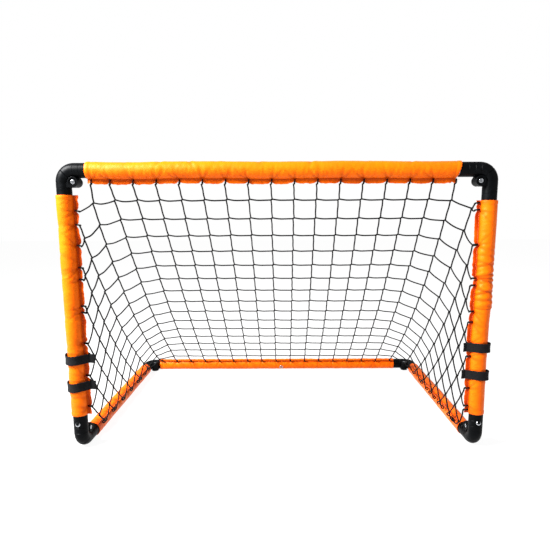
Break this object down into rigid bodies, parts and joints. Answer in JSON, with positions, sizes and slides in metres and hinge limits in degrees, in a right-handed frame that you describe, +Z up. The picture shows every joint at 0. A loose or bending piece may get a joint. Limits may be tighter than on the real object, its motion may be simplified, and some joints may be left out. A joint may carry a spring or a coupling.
{
  "type": "folding soccer goal frame",
  "caption": "Small folding soccer goal: steel tubes in orange fabric sleeves, hinged black elbows, straps and a black knotted net.",
  "frame": {"origin": "on the floor, at the middle of the object's box", "axes": "+X along the crossbar, to the right as seen from the front; +Y from the goal mouth to the back; +Z up"},
  "size_m": [0.9, 0.6, 0.6118],
  "materials": {
    "sleeve_fabric": "satin",
    "elbow_plastic": "satin",
    "tube_steel": "satin",
    "bright_metal": "polished",
    "strap_webbing": "matte",
    "net_cord": "matte"
  },
  "bodies": {
    "base_frame": {"front_left_elbow_base_half": "elbow_plastic", "front_left_hinge_pin": "bright_metal", "front_right_elbow_base_half": "elbow_plastic", "front_right_hinge_pin": "bright_metal", "left_side_sleeve": "sleeve_fabric", "left_side_tube": "tube_steel", "net": "net_cord", "peg_eyelet": "bright_metal", "rear_left_elbow_bar_half": "elbow_plastic", "rear_left_elbow_side_half": "elbow_plastic", "rear_left_hinge_pin": "bright_metal", "rear_right_elbow_bar_half": "elbow_plastic", "rear_right_elbow_side_half": "elbow_plastic", "rear_right_hinge_pin": "bright_metal", "rear_sleeve": "sleeve_fabric", "rear_tube": "tube_steel", "right_side_sleeve": "sleeve_fabric", "right_side_tube": "tube_steel"},
    "front_frame": {"crossbar_sleeve": "sleeve_fabric", "crossbar_tube": "tube_steel", "front_left_elbow_post_half": "elbow_plastic", "front_right_elbow_post_half": "elbow_plastic", "left_lock_spring": "tube_steel", "left_lower_strap": "strap_webbing", "left_post_sleeve": "sleeve_fabric", "left_post_tube": "tube_steel", "left_upper_strap": "strap_webbing", "right_lock_spring": "tube_steel", "right_lower_strap": "strap_webbing", "right_post_sleeve": "sleeve_fabric", "right_post_tube": "tube_steel", "right_upper_strap": "strap_webbing", "top_left_elbow_bar_half": "elbow_plastic", "top_left_elbow_post_half": "elbow_plastic", "top_left_hinge_pin": "bright_metal", "top_right_elbow_bar_half": "elbow_plastic", "top_right_elbow_post_half": "elbow_plastic", "top_right_hinge_pin": "bright_metal"},
    "lock_button_left": {"left_lock_button": "bright_metal"},
    "lock_button_right": {"right_lock_button": "bright_metal"}
  },
  "joints": [
    {"name": "frame_fold", "type": "hinge", "parent": "base_frame", "child": "front_frame", "pos_m": [0, -0.258, 0.0383], "axis": [-1, 0, 0], "range_deg": [0, 90], "deforming": ["net"]},
    {"name": "left_lock_press", "type": "slide", "parent": "front_frame", "child": "lock_button_left", "axis": [0, 1, 0], "range_m": [0, 0.0035], "stiffness_N_per_m": 600, "springref_m": -0.004, "deforming": ["left_lock_spring"]},
    {"name": "right_lock_press", "type": "slide", "parent": "front_frame", "child": "lock_button_right", "axis": [0, 1, 0], "range_m": [0, 0.0035], "stiffness_N_per_m": 600, "springref_m": -0.004, "deforming": ["right_lock_spring"]}
  ]
}
